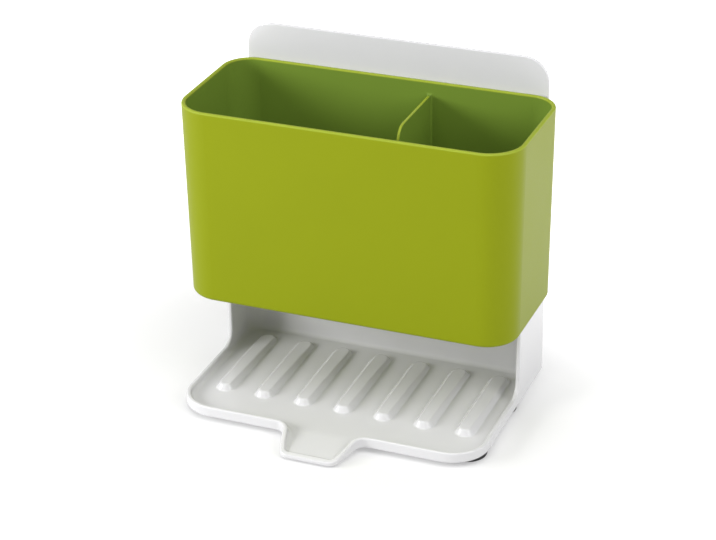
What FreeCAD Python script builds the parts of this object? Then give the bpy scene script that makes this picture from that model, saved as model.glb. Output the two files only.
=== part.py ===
import FreeCAD, Part
import math
import os

import Sketcher

# Sink caddy: a ribbed draining tray with a tall back, a lift-off tub that stands on it, and rubber feet.
# Every piece is drawn with its origin in the mid-plane, on the ground, at the rear face of the back.
# X runs to the right, Y to the rear, Z up, and all sizes are in millimetres.

SIZES = {
    # tub
    "tub_width": 230.0,
    "tub_depth": 101.0,
    "tub_height": 134.6,
    "tub_draft": 1.9,
    "tub_corner": 24.0,
    "tub_rear_corner": 19.5,
    "tub_wall": 2.8,
    "tub_base_round": 3.0,
    "tub_floor_cove": 2.0,
    "tub_rim_round": 1.1,
    "tub_back_gap": 0.3,
    # dividing fin inside the tub
    "fin_place": 25.3,
    "fin_thickness": 2.0,
    "fin_reach": 62.0,
    "fin_drop": 9.0,
    "fin_corner": 10.0,
    "fin_root_round": 1.6,
    "fin_edge_round": 0.7,
    # tabs that locate the tub in the slots of the stand
    "tab_width": 36.0,
    "tab_thickness": 2.6,
    "tab_drop": 8.0,
    "tab_spacing": 120.0,
    "tab_round": 1.0,
    "tab_tip_round": 0.8,
    "slot_clearance": 0.4,
    # stand
    "stand_width": 210.0,
    "back_height": 229.0,
    "back_thickness": 3.0,
    "back_corner": 17.0,
    "back_rear_round": 2.0,
    "back_front_round": 0.9,
    "shell_wall": 3.0,
    "seat_height": 69.5,
    "wall_setback": 16.5,
    "wall_corner": 10.0,
    "cheek_depth": 52.0,
    "cheek_blend": 10.0,
    "hollow_round": 1.5,
    # draining tray and spout
    "tray_depth": 138.5,
    "tray_corner": 24.0,
    "rim_height": 11.0,
    "rim_round": 1.1,
    "base_round": 1.0,
    "floor_thickness": 2.0,
    "floor_cove": 2.6,
    "spout_reach": 26.5,
    "spout_root_width": 49.0,
    "spout_tip_width": 41.0,
    "spout_root_round": 8.0,
    "spout_tip_round": 7.0,
    "droop": 2.6,
    "droop_radius": 60.0,
    "droop_lead": 6.0,
    "lip_radius": 18.0,
    "lip_end_height": 4.3,
    # ribs
    "rib_count": 7,
    "rib_side_gap": 10.6,
    "rib_base_width": 13.6,
    "rib_top_width": 7.4,
    "rib_height": 4.0,
    "rib_rear_height": 2.4,
    "rib_front": 107.8,
    "rib_rear": 26.3,
    "rib_corner": 6.5,
    "rib_crown_round": 1.8,
    "rib_cove": 1.4,
    # feet
    "foot_radius": 13.0,
    "foot_proud": 4.0,
    "foot_recess": 0.7,
    "foot_edge_round": 0.5,
    "foot_gap": 0.5,
    "foot_clearance": 0.15,
    "middle_foot_place": 54.3,
    "rear_foot_place": 29.5,
    "rear_foot_inset": 35.0,
    # length by which cuts run past the faces that they open
    "overrun": 5.0,
}

doc = FreeCAD.newDocument("sink_caddy")
sheet = doc.addObject("Spreadsheet::Sheet", "Sizes")
for row, (alias, size) in enumerate(SIZES.items(), start=1):
    sheet.set("A%d" % row, alias)
    sheet.set("B%d" % row, str(size))
    sheet.setAlias("B%d" % row, alias)
doc.recompute()

# heights and depths that several pieces share
DEPTH = "(Sizes.tray_depth + Sizes.spout_reach)"
FLOOR = "(Sizes.foot_proud + Sizes.floor_thickness)"
DROOP_START = "(Sizes.tray_depth - Sizes.droop_lead)"
HALF_STAND = "Sizes.stand_width / 2"
HALF_INNER = "(Sizes.stand_width / 2 - Sizes.shell_wall)"
RIB_ROW = "(Sizes.stand_width - 2 * Sizes.shell_wall - 2 * Sizes.rib_side_gap)"
TUB_REAR = "(Sizes.back_thickness + Sizes.tub_back_gap)"
TUB_TOP = "(Sizes.seat_height + Sizes.tub_height)"
FOOT_ACROSS = "(Sizes.stand_width / 2 - Sizes.base_round - Sizes.foot_gap - Sizes.foot_radius)"
TAB_MIDDLE = "(Sizes.wall_setback - Sizes.shell_wall - Sizes.slot_clearance * 2 - Sizes.tab_thickness / 2)"


def number(owner, formula):
    """The value that a formula of sheet cells has now."""
    found = owner.evalExpression(formula)
    return getattr(found, "Value", found)


def new_body(label):
    """A body that stands in the shared frame, whose origin lies below the middle of the whole depth."""
    body = doc.addObject("PartDesign::Body", label)
    body.Label = label
    body.setExpression("Placement.Base.y", DEPTH + " / 2")
    return body


def origin_part(body, role):
    """A plane or an axis of the body's own origin."""
    return next(part for part in body.Origin.OriginFeatures if part.Role == role)


def new_sketch(body, name, role, height="0"):
    """A sketch on one of the body's own origin planes, raised along the plane's normal."""
    sketch = body.newObject("Sketcher::SketchObject", name)
    sketch.AttachmentSupport = [(origin_part(body, role), "")]
    sketch.MapMode = "FlatFace"
    sketch.setExpression("AttachmentOffset.Base.z", height)
    return sketch


def bind(sketch, constraint, formula):
    """Add a dimension to a sketch and tie it to a formula."""
    index = sketch.addConstraint(constraint)
    sketch.setExpression("Constraints[%d]" % index, formula)


def pin(sketch, geometry, point, across, up):
    """Tie a point of a sketch to its distances from the origin."""
    for kind, formula in (("DistanceX", across), ("DistanceY", up)):
        value = number(sketch, formula)
        bind(sketch, Sketcher.Constraint(kind, -1, 1, geometry, point, value), formula)


def outline(sketch, corners):
    """A closed run of lines that meet at sharp corners or in tangent arcs.

    A corner is (across, up) for a sharp one, or (across, up, radius, turn) with the centre of its arc,
    where turn is 1 for a bend to the left and -1 for a bend to the right.
    """
    places = []
    for corner in corners:
        across, up, radius, turn = corner if len(corner) > 2 else corner + ("0", 1)
        bend = turn * number(sketch, radius)
        places.append((FreeCAD.Vector(number(sketch, across), number(sketch, up), 0), bend))
    count = len(places)
    starts, ends = [None] * count, [None] * count
    for here in range(count):
        there = (here + 1) % count
        (centre, bend), (next_centre, next_bend) = places[here], places[there]
        step = next_centre - centre
        heading = math.atan2(step.y, step.x) - math.asin((next_bend - bend) / step.Length)
        left = FreeCAD.Vector(-math.sin(heading), math.cos(heading), 0)
        starts[here] = centre - left * bend
        ends[there] = next_centre - left * next_bend
    lines = []
    for here in range(count):
        line = Part.LineSegment(starts[here], ends[(here + 1) % count])
        lines.append(sketch.addGeometry(line, False))
    for here, (centre, bend) in enumerate(places):
        before, after = lines[here - 1], lines[here]
        if not bend:
            sketch.addConstraint(Sketcher.Constraint("Coincident", before, 2, after, 1))
            pin(sketch, after, 1, *corners[here][:2])
            continue
        limits = (ends[here], starts[here]) if bend > 0 else (starts[here], ends[here])
        first, last = (math.atan2(point.y - centre.y, point.x - centre.x) for point in limits)
        circle = Part.Circle(centre, FreeCAD.Vector(0, 0, 1), abs(bend))
        sweep = (last - first) % (2 * math.pi)
        arc = sketch.addGeometry(Part.ArcOfCircle(circle, first, first + sweep), False)
        enter, leave = (1, 2) if bend > 0 else (2, 1)
        sketch.addConstraint(Sketcher.Constraint("Tangent", before, 2, arc, enter))
        sketch.addConstraint(Sketcher.Constraint("Tangent", arc, leave, after, 1))
        bind(sketch, Sketcher.Constraint("Radius", arc, abs(bend)), corners[here][2])
        pin(sketch, arc, 3, *corners[here][:2])


def rounded_box(sketch, low, high, front, rear, radius):
    """A rectangle with four round corners, between two places across and two places up."""
    outline(sketch, [
        (high + " - " + radius, rear + " - " + radius, radius, 1),
        (low + " + " + radius, rear + " - " + radius, radius, 1),
        (low + " + " + radius, front + " + " + radius, radius, 1),
        (high + " - " + radius, front + " + " + radius, radius, 1),
    ])


def disc(sketch, across, up, radius):
    """A circle at a place."""
    centre = FreeCAD.Vector(number(sketch, across), number(sketch, up), 0)
    size = number(sketch, radius)
    circle = sketch.addGeometry(Part.Circle(centre, FreeCAD.Vector(0, 0, 1), size), False)
    bind(sketch, Sketcher.Constraint("Radius", circle, size), radius)
    pin(sketch, circle, 3, across, up)


def feature(body, kind, name, sketch, length, **settings):
    """A pad or pocket of a sketch, whose length follows a formula."""
    made = body.newObject("PartDesign::" + kind, name)
    made.Profile = sketch
    made.setExpression("Length", length)
    for setting, value in settings.items():
        setattr(made, setting, value)
    doc.recompute()
    return made


def fillet(body, name, radius, test, middle_test=None):
    """Round the edges of the body whose ends and middle pass a test, and whose middle passes another."""
    base = body.Tip
    names = []
    for index, edge in enumerate(base.Shape.Edges, start=1):
        middle = edge.valueAt((edge.FirstParameter + edge.LastParameter) / 2)
        points = [vertex.Point for vertex in edge.Vertexes] + [middle]
        if all(map(test, points)) and (middle_test is None or middle_test(middle)):
            names.append("Edge%d" % index)
    made = body.newObject("PartDesign::Fillet", name)
    made.Base = (base, names)
    made.setExpression("Radius", radius)
    doc.recompute()


NEAR = 1e-4


def same(one, other):
    """Whether two lengths are equal but for rounding."""
    return abs(one - other) < NEAR


# places of the feet: distance from the mid-plane, and distance in front of the rear face
FOOT_PLACES = {
    "front": (FOOT_ACROSS, "(Sizes.tray_depth - Sizes.tray_corner)"),
    "middle": (FOOT_ACROSS, "Sizes.middle_foot_place"),
    "rear": ("(Sizes.stand_width / 2 - Sizes.rear_foot_inset)", "Sizes.rear_foot_place"),
}
SIDES = {"left": "-", "right": ""}


def tab_outlines(sketch, clearance):
    """Two rounded strips side by side, for the tabs of the tub or, with clearance, for their slots."""
    for sign in SIDES.values():
        middle = sign + "Sizes.tab_spacing / 2"
        wide = "(Sizes.tab_width / 2 + " + clearance + ")"
        thick = "(Sizes.tab_thickness / 2 + " + clearance + ")"
        rounded_box(
            sketch,
            middle + " - " + wide,
            middle + " + " + wide,
            "-" + TAB_MIDDLE + " - " + thick,
            "-" + TAB_MIDDLE + " + " + thick,
            "(Sizes.tab_round + " + clearance + ")",
        )


def tray_outline(sketch, inset):
    """The plan of the tray and its spout, drawn in by an inset."""
    half = "(Sizes.stand_width / 2 - " + inset + ")"
    rear = "-" + inset
    corner_across = "(Sizes.stand_width / 2 - Sizes.tray_corner)"
    corner_up = "-(Sizes.tray_depth - Sizes.tray_corner)"
    corner_round = "(Sizes.tray_corner - " + inset + ")"
    root_across = "(Sizes.spout_root_width / 2 + Sizes.spout_root_round)"
    root_up = "-(Sizes.tray_depth + Sizes.spout_root_round)"
    root_round = "(Sizes.spout_root_round + " + inset + ")"
    tip_across = "(Sizes.spout_tip_width / 2 - Sizes.spout_tip_round)"
    tip_up = "-(" + DEPTH + " - Sizes.spout_tip_round)"
    tip_round = "(Sizes.spout_tip_round - " + inset + ")"
    outline(sketch, [
        (half, rear),
        ("-" + half, rear),
        ("-" + corner_across, corner_up, corner_round, 1),
        ("-" + root_across, root_up, root_round, -1),
        ("-" + tip_across, tip_up, tip_round, 1),
        (tip_across, tip_up, tip_round, 1),
        (root_across, root_up, root_round, -1),
        (corner_across, corner_up, corner_round, 1),
    ])


def make_tray(body):
    """Outer wall of the tray and spout, and a floor of even thickness that droops along the spout."""
    walls = new_sketch(body, "tray_walls_plan", "XY_Plane")
    tray_outline(walls, "0")
    tray_outline(walls, "Sizes.shell_wall")
    feature(body, "Pad", "tray_walls", walls, "Sizes.rim_height")
    side = new_sketch(body, "floor_profile", "YZ_Plane")
    bend_up = "(Sizes.foot_proud - Sizes.droop_radius)"
    tip_under = "(Sizes.foot_proud - Sizes.droop)"
    over_bend = ("-" + DROOP_START, bend_up, "(Sizes.droop_radius + Sizes.floor_thickness)", 1)
    outline(side, [
        ("0", FLOOR),
        over_bend,
        ("-" + DEPTH, tip_under + " + Sizes.floor_thickness"),
        ("-" + DEPTH, tip_under),
        ("-" + DROOP_START, bend_up, "Sizes.droop_radius", -1),
        ("0", "Sizes.foot_proud"),
    ])
    feature(body, "Pad", "tray_floor", side, "Sizes.stand_width", Midplane=True)
    trim = new_sketch(body, "tray_trim_plan", "XY_Plane")
    tray_outline(trim, "0")
    far_across = "(Sizes.stand_width / 2 + Sizes.overrun)"
    far_up = "(" + DEPTH + " + Sizes.overrun)"
    outline(trim, [
        (far_across, "Sizes.overrun"),
        ("-" + far_across, "Sizes.overrun"),
        ("-" + far_across, "-" + far_up),
        (far_across, "-" + far_up),
    ])
    feature(body, "Pocket", "tray_trim", trim, "Sizes.rim_height", Reversed=True)
    below = new_sketch(body, "under_profile", "YZ_Plane")
    outline(below, [
        ("Sizes.overrun", "Sizes.foot_proud"),
        ("-" + DROOP_START, bend_up, "Sizes.droop_radius", 1),
        ("-" + DEPTH, tip_under),
        ("-" + DEPTH, "-Sizes.overrun"),
        ("Sizes.overrun", "-Sizes.overrun"),
    ])
    feature(body, "Pocket", "under_cut", below, "Sizes.stand_width + Sizes.overrun", Midplane=True)


def make_seat(body):
    """Lower wall and cheeks that carry the tub, and the tall back behind them."""
    plan = new_sketch(body, "seat_plan", "XY_Plane", "Sizes.foot_proud")
    bend_across = "(" + HALF_INNER + " - Sizes.wall_corner)"
    bend_up = "-(Sizes.wall_setback + Sizes.wall_corner)"
    outline(plan, [
        (HALF_STAND, "0"),
        ("-" + HALF_STAND, "0"),
        ("-" + HALF_STAND, "-Sizes.cheek_depth"),
        ("-" + HALF_INNER, "-Sizes.cheek_depth"),
        ("-" + bend_across, bend_up, "Sizes.wall_corner", -1),
        (bend_across, bend_up, "Sizes.wall_corner", -1),
        (HALF_INNER, "-Sizes.cheek_depth"),
        (HALF_STAND, "-Sizes.cheek_depth"),
    ])
    feature(body, "Pad", "seat", plan, "Sizes.seat_height - Sizes.foot_proud")
    front = new_sketch(body, "back_outline", "XZ_Plane")
    back_across = "(Sizes.stand_width / 2 - Sizes.back_corner)"
    back_up = "(Sizes.back_height - Sizes.back_corner)"
    outline(front, [
        ("-" + HALF_STAND, "Sizes.foot_proud"),
        (HALF_STAND, "Sizes.foot_proud"),
        (back_across, back_up, "Sizes.back_corner", 1),
        ("-" + back_across, back_up, "Sizes.back_corner", 1),
    ])
    feature(body, "Pad", "back", front, "Sizes.back_thickness")


def make_lip(body):
    """Cut the rim round the spout down to a lip that falls from the rim's height to the floor's."""
    side = new_sketch(body, "lip_profile", "YZ_Plane")
    rear = "-(Sizes.tray_depth - Sizes.shell_wall)"
    front = "-" + DEPTH
    outline(side, [
        (rear, "Sizes.rim_height"),
        ("-Sizes.tray_depth", "Sizes.rim_height - Sizes.lip_radius", "Sizes.lip_radius", 1),
        (front, "Sizes.lip_end_height"),
        (front, "Sizes.rim_height + Sizes.overrun"),
        (rear, "Sizes.rim_height + Sizes.overrun"),
    ])
    feature(body, "Pocket", "lip_cut", side, "Sizes.stand_width", Midplane=True)


def make_ribs(body):
    """A row of drafted ribs on the tray floor, whose crests fall towards the rear."""
    plan = new_sketch(body, "rib_plan", "XY_Plane", FLOOR)
    first = "-" + RIB_ROW + " / 2"
    rounded_box(
        plan,
        first,
        first + " + Sizes.rib_base_width",
        "-Sizes.rib_front",
        "-Sizes.rib_rear",
        "Sizes.rib_corner",
    )
    rib = feature(body, "Pad", "rib", plan, "Sizes.rib_height")
    side_run = "(Sizes.rib_base_width - Sizes.rib_top_width) / 2"
    rib.setExpression("TaperAngle", "-atan(" + side_run + " / Sizes.rib_height)")
    row = body.newObject("PartDesign::LinearPattern", "rib_row")
    row.Originals = [rib]
    row.Direction = (origin_part(body, "X_Axis"), [""])
    row.setExpression("Occurrences", "Sizes.rib_count")
    row.setExpression("Length", RIB_ROW + " - Sizes.rib_base_width")
    body.Tip = row
    doc.recompute()
    side = new_sketch(body, "crest_profile", "YZ_Plane")
    crest = "(" + FLOOR + " + Sizes.rib_height)"
    outline(side, [
        ("-Sizes.rib_front", crest),
        ("-Sizes.rib_rear", FLOOR + " + Sizes.rib_rear_height"),
        ("-Sizes.rib_rear", crest + " + Sizes.overrun"),
        ("-Sizes.rib_front", crest + " + Sizes.overrun"),
    ])
    feature(body, "Pocket", "crest_cut", side, RIB_ROW, Midplane=True)

    # rounds along the crests, and coves where the ribs meet the floor
    front = number(sheet, "-Sizes.rib_front")
    rear = number(sheet, "-Sizes.rib_rear")
    floor = number(sheet, FLOOR)
    high = number(sheet, "Sizes.rib_height")
    fall = (high - number(sheet, "Sizes.rib_rear_height")) / (rear - front)
    edge = number(sheet, RIB_ROW + " / 2")
    in_field = lambda p: abs(p.x) < edge + NEAR and front - NEAR < p.y < rear + NEAR
    on_crest = lambda p: in_field(p) and same(p.z, floor + high - fall * (p.y - front))
    fillet(body, "rib_crowns", "Sizes.rib_crown_round", on_crest)
    fillet(body, "rib_coves", "Sizes.rib_cove", lambda p: in_field(p) and same(p.z, floor))


def make_underside(body):
    """Open the seat from below, and cut the slots for the tabs and the recesses for the feet."""
    plan = new_sketch(body, "hollow_plan", "XY_Plane", "Sizes.foot_proud")
    rear_of_wall = "-(Sizes.wall_setback - Sizes.shell_wall)"
    front_of_back = "-Sizes.back_thickness"
    half = "(" + HALF_INNER + " - Sizes.base_round)"
    rounded_box(plan, "-" + half, half, rear_of_wall, front_of_back, "Sizes.hollow_round")
    depth = "Sizes.seat_height - Sizes.foot_proud - Sizes.shell_wall"
    feature(body, "Pocket", "seat_hollow", plan, depth, Reversed=True)
    plan = new_sketch(body, "slot_plan", "XY_Plane", "Sizes.seat_height")
    tab_outlines(plan, "Sizes.slot_clearance")
    feature(body, "Pocket", "tab_slots", plan, "Sizes.shell_wall + Sizes.overrun")
    plan = new_sketch(body, "recess_plan", "XY_Plane", "Sizes.foot_proud")
    for across, ahead in FOOT_PLACES.values():
        for sign in SIDES.values():
            disc(plan, sign + across, "-" + ahead, "Sizes.foot_radius + Sizes.foot_clearance")
    feature(body, "Pocket", "foot_recesses", plan, "Sizes.foot_recess", Reversed=True)


def make_stand():
    """Back, seat for the tub, draining tray and spout, in one moulding of even wall."""
    body = new_body("stand")
    floor = number(sheet, FLOOR)
    rim = number(sheet, "Sizes.rim_height")
    under = number(sheet, "Sizes.foot_proud")
    cheek = number(sheet, "Sizes.cheek_depth")
    seat = number(sheet, "Sizes.seat_height")
    thick = number(sheet, "Sizes.back_thickness")
    make_tray(body)
    make_seat(body)
    bend = number(sheet, DROOP_START)
    off_bend = lambda p: not same(p.y, -bend)
    off_rear = lambda p: off_bend(p) and not same(p.y, 0)
    fillet(body, "base_rounds", "Sizes.base_round", lambda p: same(p.z, under), off_rear)
    fillet(body, "floor_coves", "Sizes.floor_cove", lambda p: same(p.z, floor), off_bend)
    fillet(body, "cheek_sweeps", "Sizes.cheek_blend", lambda p: same(p.z, rim) and same(p.y, -cheek))
    make_lip(body)
    fillet(body, "rim_rounds", "Sizes.rim_round", lambda p: same(p.z, rim))
    on_rear = lambda p: same(p.y, 0)
    on_front = lambda p: same(p.y, -thick)
    fillet(body, "back_rear_rounds", "Sizes.back_rear_round", on_rear)
    fillet(body, "back_front_rounds", "Sizes.back_front_round", on_front, lambda p: p.z > seat + NEAR)
    make_ribs(body)
    make_underside(body)
    return body


def tub_outline(sketch, inset):
    """The tub's plan at the height of its rim, drawn in by an inset."""
    half = "(Sizes.tub_width / 2 - " + inset + ")"
    front = "-(" + TUB_REAR + " + Sizes.tub_depth - " + inset + ")"
    rear = "-(" + TUB_REAR + " + " + inset + ")"
    front_round = "(Sizes.tub_corner - " + inset + ")"
    rear_round = "(Sizes.tub_rear_corner - " + inset + ")"
    front_up = front + " + " + front_round
    rear_up = rear + " - " + rear_round
    outline(sketch, [
        (half + " - " + rear_round, rear_up, rear_round, 1),
        ("-" + half + " + " + rear_round, rear_up, rear_round, 1),
        ("-" + half + " + " + front_round, front_up, front_round, 1),
        (half + " - " + front_round, front_up, front_round, 1),
    ])


def make_tub():
    """Open tub with a slight draft, a dividing fin on its rear wall and two tabs under its floor."""
    body = new_body("tub")
    seat = number(sheet, "Sizes.seat_height")
    top = number(sheet, TUB_TOP)
    floor = number(sheet, "Sizes.seat_height + Sizes.tub_wall")
    plan = new_sketch(body, "tub_plan", "XY_Plane", "Sizes.seat_height")
    tub_outline(plan, "Sizes.tub_draft")
    block = feature(body, "Pad", "tub_block", plan, "Sizes.tub_height")
    block.setExpression("TaperAngle", "atan(Sizes.tub_draft / Sizes.tub_height)")
    plan = new_sketch(body, "tub_mouth", "XY_Plane", TUB_TOP)
    tub_outline(plan, "Sizes.tub_wall")
    hollow = feature(body, "Pocket", "tub_hollow", plan, "Sizes.tub_height - Sizes.tub_wall")
    hollow.setExpression("TaperAngle", "-atan(Sizes.tub_draft / Sizes.tub_height)")
    doc.recompute()
    fillet(body, "tub_base_rounds", "Sizes.tub_base_round", lambda p: same(p.z, seat))
    fillet(body, "tub_floor_coves", "Sizes.tub_floor_cove", lambda p: same(p.z, floor))
    make_fin(body)
    fillet(body, "tub_rim_rounds", "Sizes.tub_rim_round", lambda p: same(p.z, top))
    plan = new_sketch(body, "tab_plan", "XY_Plane", "Sizes.seat_height + Sizes.tub_wall / 2")
    tab_outlines(plan, "0")
    feature(body, "Pad", "tabs", plan, "Sizes.tub_wall / 2 + Sizes.tab_drop", Reversed=True)
    tip = number(sheet, "Sizes.seat_height - Sizes.tab_drop")
    fillet(body, "tab_tips", "Sizes.tab_tip_round", lambda p: same(p.z, tip))
    return body


def make_fin(body):
    """Dividing fin, rooted in the rear wall and the floor, with one round corner at its free end."""
    side = new_sketch(body, "fin_profile", "YZ_Plane", "Sizes.fin_place - Sizes.fin_thickness / 2")
    front = "-(" + TUB_REAR + " + Sizes.fin_reach)"
    rear = "-(" + TUB_REAR + " + (Sizes.tub_draft + Sizes.tub_wall) / 2)"
    foot = "(Sizes.seat_height + Sizes.tub_wall / 2)"
    crest = "(" + TUB_TOP + " - Sizes.fin_drop)"
    outline(side, [
        (front, foot),
        (rear + " - Sizes.tub_base_round", foot + " + Sizes.tub_base_round", "Sizes.tub_base_round", 1),
        (rear, crest),
        (front + " + Sizes.fin_corner", crest + " - Sizes.fin_corner", "Sizes.fin_corner", 1),
    ])
    feature(body, "Pad", "fin", side, "Sizes.fin_thickness")
    place = number(sheet, "Sizes.fin_place")
    reach = number(sheet, "Sizes.fin_thickness / 2")
    floor = number(sheet, "Sizes.seat_height + Sizes.tub_wall")
    wall = number(sheet, "-(" + TUB_REAR + " + Sizes.tub_draft + Sizes.tub_wall + Sizes.tub_base_round)")
    on_fin = lambda p: abs(p.x - place) < reach + NEAR
    at_root = lambda p: on_fin(p) and (same(p.z, floor) or p.y > wall)
    fillet(body, "fin_roots", "Sizes.fin_root_round", at_root)
    end = number(sheet, front)
    top = number(sheet, crest)
    free = lambda p: same(abs(p.x - place), reach)
    bend = number(sheet, "Sizes.fin_corner")
    fillet(body, "fin_edges", "Sizes.fin_edge_round", free, lambda p: p.y < end + bend or p.z > top - NEAR)


def make_foot(label, across, up):
    """Rubber disc that sits in a recess of the stand and stands proud of it."""
    body = new_body(label)
    plan = new_sketch(body, label + "_plan", "XY_Plane")
    disc(plan, across, up, "Sizes.foot_radius")
    feature(body, "Pad", label + "_disc", plan, "Sizes.foot_proud + Sizes.foot_recess")
    fillet(body, label + "_edge", "Sizes.foot_edge_round", lambda p: same(p.z, 0))
    return body


pieces = [make_stand(), make_tub()]
for row_name, (across, ahead) in FOOT_PLACES.items():
    for side_name, sign in SIDES.items():
        pieces.append(make_foot(row_name + "_" + side_name + "_foot", sign + across, "-" + ahead))

failed = [item.Label for item in doc.Objects if "Invalid" in item.State or "Error" in item.State]
if failed:
    raise RuntimeError("features that failed: " + ", ".join(failed))
os.makedirs("parts", exist_ok=True)
for piece in pieces:
    if piece.Shape.isNull() or not piece.Shape.isValid():
        raise RuntimeError("piece without a valid shape: " + piece.Label)
    piece.Shape.exportStep("parts/" + piece.Label + ".step")
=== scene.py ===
import math

import bpy
import numpy as np
from bpy.props import FloatProperty, FloatVectorProperty, PointerProperty
from mathutils import Matrix, Vector


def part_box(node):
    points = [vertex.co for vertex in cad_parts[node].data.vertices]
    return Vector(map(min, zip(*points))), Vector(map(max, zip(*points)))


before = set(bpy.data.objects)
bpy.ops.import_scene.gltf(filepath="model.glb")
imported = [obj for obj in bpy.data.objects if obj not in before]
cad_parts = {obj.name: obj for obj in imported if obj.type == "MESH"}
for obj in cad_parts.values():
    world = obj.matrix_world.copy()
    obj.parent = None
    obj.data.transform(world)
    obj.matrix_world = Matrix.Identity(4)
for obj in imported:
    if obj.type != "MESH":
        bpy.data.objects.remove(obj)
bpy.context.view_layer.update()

bl_info = {
    "name": "Sink caddy finishes",
    "version": (1, 0, 0),
    "blender": (4, 5, 0),
    "location": "3D View > Sidebar > Sink caddy",
    "description": "Gives the sink caddy its plastics and rubber, and sets it on a pale studio floor",
    "category": "Object",
}

MM = 0.001

# the tub's reach in the shared frame, with its tabs
TUB_LOW, TUB_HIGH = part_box("tub")
TUB_HALF_WIDTH = (TUB_HIGH.x - TUB_LOW.x) / 2
TUB_HALF_DEPTH = (TUB_HIGH.y - TUB_LOW.y) / 2
TUB_MIDDLE = (TUB_HIGH.y + TUB_LOW.y) / 2
TUB_TOP = TUB_HIGH.z
# sizes of the tub that its reach doesn't give, as the CAD model has them
TAB_DROP = 8.0 * MM
TUB_CORNER = 24.0 * MM
TUB_REAR_CORNER = 19.5 * MM
TUB_DRAFT = 1.9 * MM
TUB_WALL = 2.8 * MM
FIN_PLACE = 25.3 * MM
FIN_THICKNESS = 2.0 * MM
FIN_REACH = 62.0 * MM
# the tub's underside, and the fin's front edge and root
TUB_BASE = TUB_LOW.z + TAB_DROP
FIN_FRONT = TUB_HIGH.y - FIN_REACH
FIN_ROOT = TUB_HIGH.y - TUB_WALL - TUB_DRAFT
# depths below the top between which the walls give way to the rim's painted highlight
RIM_CHANGE = (1.5 * MM, 0.6 * MM)
# shares of the wall, the floor and the fin's thickness between which one finish gives way to the next: the
# inside's smoother finish and painted shade, and the fin edge's painted highlight
WALL_CHANGE = (0.70, 0.97)
FLOOR_CHANGE = (0.3, 0.8)
FIN_CHANGE = (0.38, 0.48)

# distances from the origin, in metres, between which the glow of the floor changes
GLOW_AROUND = (0.08, 0.28)
GLOW_BEHIND = (0.05, 0.36)
GLOW_EDGE = (0.9, 4.5)
# how far to the rear a step to the right counts for that glow
GLOW_SLANT = 0.3

# the camera's sensor in millimetres, and the nearest that it sees
SENSOR_WIDTH = 36.0
NEAREST = 10 * MM


class Field:
    """A shader socket that takes part in Python expressions: each operator adds a Math node."""

    def __init__(self, socket):
        self.socket = socket

    def node(self, kind, settings, inputs, output=0):
        """Add a node to the socket's tree, set it up, fill or link its sockets, and return one output."""
        tree = self.socket.id_data
        made = tree.nodes.new(kind)
        for name, value in settings.items():
            setattr(made, name, value)
        for key, value in inputs.items():
            if isinstance(value, Field):
                tree.links.new(value.socket, made.inputs[key])
            else:
                made.inputs[key].default_value = value
        return Field(made.outputs[output])

    def math(self, operation, first, second):
        return self.node("ShaderNodeMath", {"operation": operation}, {0: first, 1: second})

    def larger(self, other):
        return self.math("MAXIMUM", self, other)

    def smaller(self, other):
        return self.math("MINIMUM", self, other)

    def ramp(self, low, high):
        """A smooth rise from 0 at the low value to 1 at the high one."""
        settings = {"interpolation_type": "SMOOTHSTEP"}
        return self.node("ShaderNodeMapRange", settings, {"Value": self, "From Min": low, "From Max": high})

    def axis(self, index):
        """One coordinate of a place."""
        return self.node("ShaderNodeSeparateXYZ", {}, {"Vector": self}, output=index)

    def __add__(self, other):
        return self.math("ADD", self, other)

    def __sub__(self, other):
        return self.math("SUBTRACT", self, other)

    def __rsub__(self, other):
        return self.math("SUBTRACT", other, self)

    def __mul__(self, other):
        return self.math("MULTIPLY", self, other)

    def __abs__(self):
        return self.math("ABSOLUTE", self, 0)

    def __pow__(self, other):
        return self.math("POWER", self, other)

    __radd__ = __add__
    __rmul__ = __mul__


def noise(place, size, detail):
    """Smooth noise from 0 to 1 whose lumps are about one size across."""
    return place.node("ShaderNodeTexNoise", {}, {"Vector": place, "Scale": 1 / size, "Detail": detail})


def blend(place, amount, first, second):
    """A colour between two, each a plain colour or a field, by an amount from 0 to 1."""
    ends = [end if isinstance(end, Field) else (*end, 1) for end in (first, second)]
    return place.node("ShaderNodeMix", {"data_type": "RGBA"}, {0: amount, 6: ends[0], 7: ends[1]}, output=2)


def mottle(place, pattern, colour, darker, lighter):
    """A colour that a pattern from 0 to 1 takes from a share darker to a share lighter."""
    dark = tuple(channel * (1 - darker) for channel in colour)
    light = tuple(channel * (1 + lighter) for channel in colour)
    return blend(place, pattern, dark, light)


def swing(pattern, size):
    """A pattern from 0 to 1 turned into a change of one size about 0."""
    return (pattern - 1 / 2) * size


def new_material(name):
    """A material with one Principled shader, and the Object coordinates that its patterns read."""
    material = bpy.data.materials.new(name)
    material.use_nodes = True
    tree = material.node_tree
    shader = tree.nodes["Principled BSDF"]
    place = Field(tree.nodes.new("ShaderNodeTexCoord").outputs["Object"])
    return material, shader, place


def feed(shader, socket, value):
    """Link a field to a socket of the shader, or set a plain value on it."""
    if isinstance(value, Field):
        shader.id_data.links.new(value.socket, shader.inputs[socket])
    else:
        shader.inputs[socket].default_value = value


def bump(shader, depth, height):
    """Raise the shader's surface by a depth times a height from 0 to 1."""
    feed(shader, "Normal", height.node("ShaderNodeBump", {}, {"Distance": depth, "Height": height}))


def dress(names, material):
    """Put one material on CAD nodes."""
    for name in names:
        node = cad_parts[name]
        node.data.materials.clear()
        node.data.materials.append(material)


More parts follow.
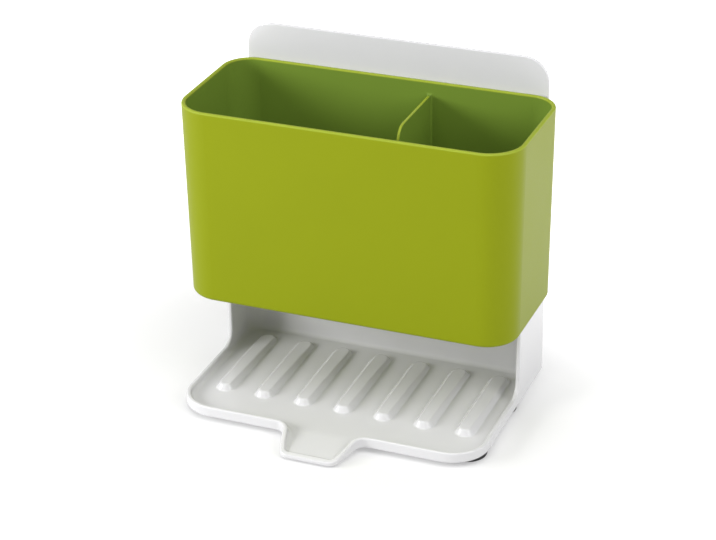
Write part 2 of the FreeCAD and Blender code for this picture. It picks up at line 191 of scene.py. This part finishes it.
class CADDY_PG_stand(bpy.types.PropertyGroup):
    """Finish of the gloss stand."""

    colour: FloatVectorProperty(
        name="Colour", description="Colour of the gloss plastic", subtype="COLOR",
        default=(0.650, 0.648, 0.660))
    roughness: FloatProperty(
        name="Roughness", description="Roughness of the gloss surface", subtype="FACTOR", default=0.12)
    index: FloatProperty(
        name="Index", description="Index of refraction of the skin, which sets its gloss", default=1.46)
    smudge_size: FloatProperty(
        name="Smudge size", description="Size of the patches that are a little duller", unit="LENGTH",
        default=38 * MM)
    smudge_swing: FloatProperty(
        name="Smudge swing", description="Change of roughness from patch to patch", subtype="FACTOR",
        default=0.06)
    smudge_darker: FloatProperty(
        name="Smudge darker", description="Share by which a patch is darker", subtype="FACTOR",
        default=0.025)
    smudge_lighter: FloatProperty(
        name="Smudge lighter", description="Share by which a patch is lighter", subtype="FACTOR",
        default=0.02)
    ripple_size: FloatProperty(
        name="Ripple size", description="Size of the faint ripples of the moulded skin", unit="LENGTH",
        default=4.5 * MM)
    ripple_depth: FloatProperty(
        name="Ripple depth", description="Depth of the faint ripples", unit="LENGTH", default=0.012 * MM)


class CADDY_PG_tub(bpy.types.PropertyGroup):
    """Finish of the matt tub."""

    colour: FloatVectorProperty(
        name="Colour", description="Colour of the matt plastic", subtype="COLOR",
        default=(0.211, 0.249, 0.001))
    roughness: FloatProperty(
        name="Roughness", description="Roughness of the matt surface", subtype="FACTOR", default=0.42)
    # painted shade: the faces within the tub are given a darker, greener colour for the shade that falls
    # inside it
    inner_shade_colour: FloatVectorProperty(
        name="Inner colour", description="Colour of the inner faces, deeper than the grained outside",
        subtype="COLOR", default=(0.153, 0.238, 0.031))
    inner_roughness: FloatProperty(
        name="Inner roughness", description="Roughness of the smooth inner faces", subtype="FACTOR",
        default=0.33)
    inner_grain: FloatProperty(
        name="Inner grain", description="Share of the grain that the inner faces keep", subtype="FACTOR",
        default=0.3)
    # painted highlight: a paler colour on the rim and the fin's edge for the light that they catch
    rim_highlight_colour: FloatVectorProperty(
        name="Rim colour", description="Colour of the smooth rim and fin edge, paler than the walls",
        subtype="COLOR", default=(0.285, 0.35, 0.030))
    index: FloatProperty(
        name="Index", description="Index of refraction of the skin, which sets its sheen", default=1.22)
    grain_size: FloatProperty(
        name="Grain size", description="Size of the fine spark-eroded grain", unit="LENGTH",
        default=0.42 * MM)
    grain_depth: FloatProperty(
        name="Grain depth", description="Depth of the grain", unit="LENGTH", default=0.016 * MM)
    grain_swing: FloatProperty(
        name="Grain swing", description="Change of roughness within the grain", subtype="FACTOR",
        default=0.10)
    cloud_size: FloatProperty(
        name="Cloud size", description="Size of the slight changes of colour", unit="LENGTH",
        default=55 * MM)
    cloud_swing: FloatProperty(
        name="Cloud swing", description="Change of roughness from cloud to cloud", subtype="FACTOR",
        default=0.06)
    cloud_change: FloatProperty(
        name="Cloud change", description="Share by which a cloud is darker or lighter", subtype="FACTOR",
        default=0.03)


class CADDY_PG_feet(bpy.types.PropertyGroup):
    """Finish of the rubber feet."""

    colour: FloatVectorProperty(
        name="Colour", description="Colour of the rubber", subtype="COLOR", default=(0.020, 0.020, 0.021))
    roughness: FloatProperty(
        name="Roughness", description="Roughness of the rubber", subtype="FACTOR", default=0.72)
    grain_size: FloatProperty(
        name="Grain size", description="Size of the rubber's grain", unit="LENGTH", default=0.6 * MM)
    grain_depth: FloatProperty(
        name="Grain depth", description="Depth of the rubber's grain", unit="LENGTH", default=0.05 * MM)
    grain_swing: FloatProperty(
        name="Grain swing", description="Change of roughness within the grain", subtype="FACTOR",
        default=0.16)
    dust_size: FloatProperty(
        name="Dust size", description="Size of the dusty patches", unit="LENGTH", default=8.4 * MM)
    dust_darker: FloatProperty(
        name="Dust darker", description="Share by which clean rubber is darker", subtype="FACTOR",
        default=0.2)
    dust_lighter: FloatProperty(
        name="Dust lighter", description="Share by which dusty rubber is lighter", subtype="FACTOR",
        default=0.5)


class CADDY_PG_stage(bpy.types.PropertyGroup):
    """Floor, light and camera."""

    floor_colour: FloatVectorProperty(
        name="Floor colour", description="Colour of the studio floor", subtype="COLOR",
        default=(0.62, 0.62, 0.62))
    floor_roughness: FloatProperty(
        name="Floor roughness", description="Roughness of the studio floor", subtype="FACTOR",
        default=0.9)
    floor_radius: FloatProperty(
        name="Floor radius", description="Radius of the studio floor", unit="LENGTH", default=9.0)
    near_glow: FloatProperty(
        name="Near glow", description="Light that the floor gives off close to the caddy", default=0.26)
    wide_glow: FloatProperty(
        name="Wide glow", description="Light that the floor gives off further out in front", default=0.50)
    far_glow: FloatProperty(
        name="Far glow", description="Light that the floor gives off behind the caddy and to its right",
        default=1.22)
    edge_glow: FloatProperty(
        name="Edge glow", description="Light that the floor gives off far out, where it meets the tent",
        default=0.18)
    tent: FloatProperty(name="Tent", description="Strength of the even light all round", default=0.47)
    left_place: FloatVectorProperty(
        name="Left place", description="Place of the left soft box", subtype="TRANSLATION",
        default=(-0.95, -0.70, 0.50))
    left_size: FloatVectorProperty(
        name="Left size", description="Width and height of the left soft box", size=2, unit="LENGTH",
        default=(0.80, 0.40))
    left_power: FloatProperty(
        name="Left power", description="Power of the left soft box", unit="POWER", default=12.6)
    right_place: FloatVectorProperty(
        name="Right place", description="Place of the right soft box", subtype="TRANSLATION",
        default=(0.80, -0.25, 0.66))
    right_size: FloatVectorProperty(
        name="Right size", description="Width and height of the right soft box", size=2, unit="LENGTH",
        default=(0.60, 0.60))
    right_power: FloatProperty(
        name="Right power", description="Power of the right soft box", unit="POWER", default=4.0)
    top_place: FloatVectorProperty(
        name="Top place", description="Place of the soft box overhead", subtype="TRANSLATION",
        default=(0.05, -0.60, 1.60))
    top_size: FloatVectorProperty(
        name="Top size", description="Width and height of the soft box overhead", size=2, unit="LENGTH",
        default=(1.20, 1.20))
    top_power: FloatProperty(
        name="Top power", description="Power of the soft box overhead", unit="POWER", default=10.0)
    middle: FloatVectorProperty(
        name="Middle", description="Point that the soft boxes face", subtype="TRANSLATION",
        default=(0, 0, 0.1))
    azimuth: FloatProperty(
        name="Azimuth", description="Turn of the camera to the right of the front", subtype="ANGLE",
        default=math.radians(21.98))
    elevation: FloatProperty(
        name="Elevation", description="Height of the camera above the horizon", subtype="ANGLE",
        default=math.radians(26.94))
    roll: FloatProperty(
        name="Roll", description="Turn of the camera about its own axis", subtype="ANGLE",
        default=math.radians(-0.84))
    distance: FloatProperty(
        name="Distance", description="Distance from the camera to what it looks at", unit="LENGTH",
        default=1452.05 * MM)
    target: FloatVectorProperty(
        name="Target", description="Point that the camera looks at", subtype="TRANSLATION",
        default=(-3.00 * MM, 17.53 * MM, 90.36 * MM))
    lens: FloatProperty(
        name="Lens", description="Focal length of the camera in millimetres", unit="CAMERA",
        default=111.65)


class CADDY_OT_stand(bpy.types.Operator):
    """Give the stand its gloss plastic"""

    bl_idname = "caddy.stand"
    bl_label = "Stand"

    def execute(self, context):
        finish = context.scene.caddy_stand
        material, shader, place = new_material("gloss_white_plastic")
        smudge = noise(place, finish.smudge_size, detail=4.0)
        ripple = noise(place, finish.ripple_size, detail=1.0)
        colour = mottle(place, smudge, finish.colour, finish.smudge_darker, finish.smudge_lighter)
        feed(shader, "Base Color", colour)
        feed(shader, "Roughness", swing(smudge, finish.smudge_swing) + finish.roughness)
        feed(shader, "IOR", finish.index)
        bump(shader, finish.ripple_depth, ripple)
        dress(["stand"], material)
        return {"FINISHED"}


class CADDY_OT_tub(bpy.types.Operator):
    """Give the tub its fine-grained matt plastic, with painted shade within it and a painted highlight on
    its rim and fin edge
    """

    bl_idname = "caddy.tub"
    bl_label = "Tub"

    def execute(self, context):
        finish = context.scene.caddy_tub
        material, shader, place = new_material("matt_green_plastic")
        grain = noise(place, finish.grain_size, detail=2.0)
        cloud = noise(place, finish.cloud_size, detail=3.0)
        inner = self.inside(place)
        # the rim and the fin's free edges get a painted highlight
        edge = self.rim(place).larger(self.fin_edge(place))
        change = finish.cloud_change
        outer_colour = mottle(place, cloud, finish.colour, change, change)
        # painted shade: the faces within the tub take the darker, greener inner colour
        inner_shade_colour = mottle(place, cloud, finish.inner_shade_colour, change, change)
        colour = blend(place, inner, outer_colour, inner_shade_colour)
        feed(shader, "Base Color", blend(place, edge, colour, finish.rim_highlight_colour))
        smoother = inner * (finish.inner_roughness - finish.roughness)
        uneven = swing(grain, finish.grain_swing) + swing(cloud, finish.cloud_swing)
        feed(shader, "Roughness", uneven + smoother + finish.roughness)
        feed(shader, "IOR", finish.index)
        bump(shader, finish.grain_depth, grain * (1 - inner * (1 - finish.inner_grain)))
        dress(["tub"], material)
        return {"FINISHED"}

    def inside(self, place):
        """1 on the faces within the tub and 0 on those outside, changing over along the inside of the rim.

        How deep a point lies within a rounded rectangle is round - |max(q, 0)| - min(max(q), 0), where
        q is how far it lies beyond the centres of the rectangle's round corners. The walls lean in by
        their draft.
        """
        rear = (place.axis(1) - TUB_MIDDLE).ramp(-TUB_WALL, TUB_WALL)
        corner = rear * (TUB_REAR_CORNER - TUB_CORNER) + TUB_CORNER
        far_x = abs(place.axis(0)) + corner - TUB_HALF_WIDTH
        far_y = abs(place.axis(1) - TUB_MIDDLE) + corner - TUB_HALF_DEPTH
        past = (far_x.larger(0) ** 2 + far_y.larger(0) ** 2) ** 0.5
        short = far_x.larger(far_y).smaller(0)
        lean = (TUB_TOP - place.axis(2)) * (TUB_DRAFT / (TUB_TOP - TUB_BASE))
        depth = corner - past - short - lean
        walls = depth.ramp(*(TUB_WALL * share for share in WALL_CHANGE))
        return walls * self.above_floor(place)

    def above_floor(self, place):
        """1 above the middle of the tub's floor and 0 below it."""
        return place.axis(2).ramp(*(TUB_BASE + TUB_WALL * share for share in FLOOR_CHANGE))

    def rim(self, place):
        """1 along the rim, where a highlight is painted, and 0 below it."""
        return place.axis(2).ramp(*(TUB_TOP - depth for depth in RIM_CHANGE))

    def fin_edge(self, place):
        """1 on the fin's free edges, which lie nearer its middle plane than its two faces do."""
        off_middle = abs(place.axis(0) - FIN_PLACE)
        strip = 1 - off_middle.ramp(*(FIN_THICKNESS * share for share in FIN_CHANGE))
        front = place.axis(1).ramp(FIN_FRONT - FIN_THICKNESS / 2, FIN_FRONT)
        rear = 1 - place.axis(1).ramp(FIN_ROOT - FIN_THICKNESS, FIN_ROOT)
        return strip * front * rear * self.above_floor(place)


class CADDY_OT_feet(bpy.types.Operator):
    """Give the six feet their grained rubber"""

    bl_idname = "caddy.feet"
    bl_label = "Feet"

    def execute(self, context):
        finish = context.scene.caddy_feet
        material, shader, place = new_material("black_rubber")
        grain = noise(place, finish.grain_size, detail=3.0)
        dust = noise(place, finish.dust_size, detail=2.0)
        colour = mottle(place, dust, finish.colour, finish.dust_darker, finish.dust_lighter)
        feed(shader, "Base Color", colour)
        feed(shader, "Roughness", swing(grain, finish.grain_swing) + finish.roughness)
        bump(shader, finish.grain_depth, grain)
        feet = [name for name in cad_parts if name.endswith("_foot")]
        dress(feet, material)
        return {"FINISHED"}


def disc_mesh(name, radius, rings=24, spokes=96):
    """A flat disc on the ground: points at radius * (ring / rings) ** 2 along each spoke's angle."""
    reach = radius * (np.arange(1, rings + 1) / rings) ** 2
    angle = np.arange(spokes) * (2 * np.pi / spokes)
    x = np.outer(reach, np.cos(angle)).ravel()
    y = np.outer(reach, np.sin(angle)).ravel()
    points = np.column_stack([x, y, np.zeros_like(x)])
    here = np.arange(spokes)
    after = (here + 1) % spokes
    steps = (np.arange(rings - 1) * spokes)[:, None]
    quads = np.stack([steps + here, steps + spokes + here, steps + spokes + after, steps + after], axis=-1)
    faces = [list(range(spokes))] + quads.reshape(-1, 4).tolist()
    mesh = bpy.data.meshes.new(name)
    mesh.from_pydata(points.tolist(), [], faces)
    return mesh


def soft_box(name, place, size, power, middle):
    """A rectangular light that faces a middle and that the camera doesn't see."""
    light = bpy.data.lights.new(name, "AREA")
    light.shape = "RECTANGLE"
    light.size, light.size_y = size
    light.energy = power
    lamp = bpy.data.objects.new(name, light)
    lamp.location = place
    lamp.rotation_euler = (Vector(middle) - Vector(place)).to_track_quat("-Z", "Y").to_euler()
    lamp.visible_camera = False
    bpy.context.scene.collection.objects.link(lamp)


class CADDY_OT_stage(bpy.types.Operator):
    """Make the pale floor, the soft light and the camera"""

    bl_idname = "caddy.stage"
    bl_label = "Stage"

    def execute(self, context):
        scene = context.scene
        stage = scene.caddy_stage
        scene.view_settings.view_transform = "Standard"
        self.add_floor(scene, stage)
        self.add_light(scene, stage)
        self.add_camera(scene, stage)
        return {"FINISHED"}

    def add_floor(self, scene, stage):
        """A pale matt floor that glows, least close to the caddy and most behind it and to its right."""
        floor = bpy.data.objects.new("studio_floor", disc_mesh("studio_floor", stage.floor_radius))
        scene.collection.objects.link(floor)
        material, shader, place = new_material("studio_floor")
        feed(shader, "Base Color", (*stage.floor_colour, 1))
        feed(shader, "Roughness", stage.floor_roughness)
        feed(shader, "Specular IOR Level", 0.0)
        behind = (place.axis(1) + place.axis(0) * GLOW_SLANT).ramp(*GLOW_BEHIND)
        reach_squared = place.axis(0) ** 2 + place.axis(1) ** 2
        around = reach_squared.ramp(*(distance ** 2 for distance in GLOW_AROUND))
        far_out = (reach_squared ** 0.5).ramp(*GLOW_EDGE)
        glow = around * (stage.wide_glow - stage.near_glow) + stage.near_glow
        glow = glow + behind * (stage.far_glow - glow)
        glow = glow + far_out * (stage.edge_glow - glow)
        feed(shader, "Emission Color", glow)
        feed(shader, "Emission Strength", 1.0)
        floor.data.materials.append(material)

    def add_light(self, scene, stage):
        """Even light all round from a white tent, and three soft boxes."""
        world = bpy.data.worlds.new("studio_tent")
        world.use_nodes = True
        tent = world.node_tree.nodes["Background"]
        tent.inputs["Color"].default_value = (1, 1, 1, 1)
        tent.inputs["Strength"].default_value = stage.tent
        scene.world = world
        soft_box("left_box", stage.left_place, stage.left_size, stage.left_power, stage.middle)
        soft_box("right_box", stage.right_place, stage.right_size, stage.right_power, stage.middle)
        soft_box("top_box", stage.top_place, stage.top_size, stage.top_power, stage.middle)

    def add_camera(self, scene, stage):
        """Stand the camera off its target by azimuth, elevation and distance, then roll it."""
        turn = stage.azimuth
        lift = stage.elevation
        back = Vector((math.sin(turn) * math.cos(lift), -math.cos(turn) * math.cos(lift), math.sin(lift)))
        flat = Vector((math.cos(turn), math.sin(turn), 0))
        high = back.cross(flat)
        right = math.cos(stage.roll) * flat + math.sin(stage.roll) * high
        up = math.cos(stage.roll) * high - math.sin(stage.roll) * flat
        camera = bpy.data.objects.new("photo_camera", bpy.data.cameras.new("photo_camera"))
        camera.data.sensor_width = SENSOR_WIDTH
        camera.data.lens = stage.lens
        camera.data.clip_start = NEAREST
        pose = Matrix((right, up, back)).transposed().to_4x4()
        pose.translation = Vector(stage.target) + back * stage.distance
        camera.matrix_world = pose
        scene.collection.objects.link(camera)
        scene.camera = camera


class CADDY_PT_panel(bpy.types.Panel):
    """Lists the steps that finish the sink caddy"""

    bl_idname = "CADDY_PT_panel"
    bl_label = "Sink caddy"
    bl_space_type = "VIEW_3D"
    bl_region_type = "UI"
    bl_category = "Sink caddy"

    def draw(self, context):
        for group, (kind, operator) in STEPS.items():
            box = self.layout.box()
            settings = getattr(context.scene, group)
            for name in kind.__annotations__:
                box.prop(settings, name)
            box.operator(operator.bl_idname)


STEPS = {
    "caddy_stage": (CADDY_PG_stage, CADDY_OT_stage),
    "caddy_stand": (CADDY_PG_stand, CADDY_OT_stand),
    "caddy_tub": (CADDY_PG_tub, CADDY_OT_tub),
    "caddy_feet": (CADDY_PG_feet, CADDY_OT_feet),
}
CLASSES = [kind for pair in STEPS.values() for kind in pair] + [CADDY_PT_panel]


def register():
    for kind in CLASSES:
        bpy.utils.register_class(kind)
    for group, (kind, _) in STEPS.items():
        setattr(bpy.types.Scene, group, PointerProperty(type=kind))


def unregister():
    for group in STEPS:
        delattr(bpy.types.Scene, group)
    for kind in reversed(CLASSES):
        bpy.utils.unregister_class(kind)


def main():
    register()
    bpy.ops.caddy.stage()
    bpy.ops.caddy.stand()
    bpy.ops.caddy.tub()
    bpy.ops.caddy.feet()


if __name__ == "__main__":
    main()
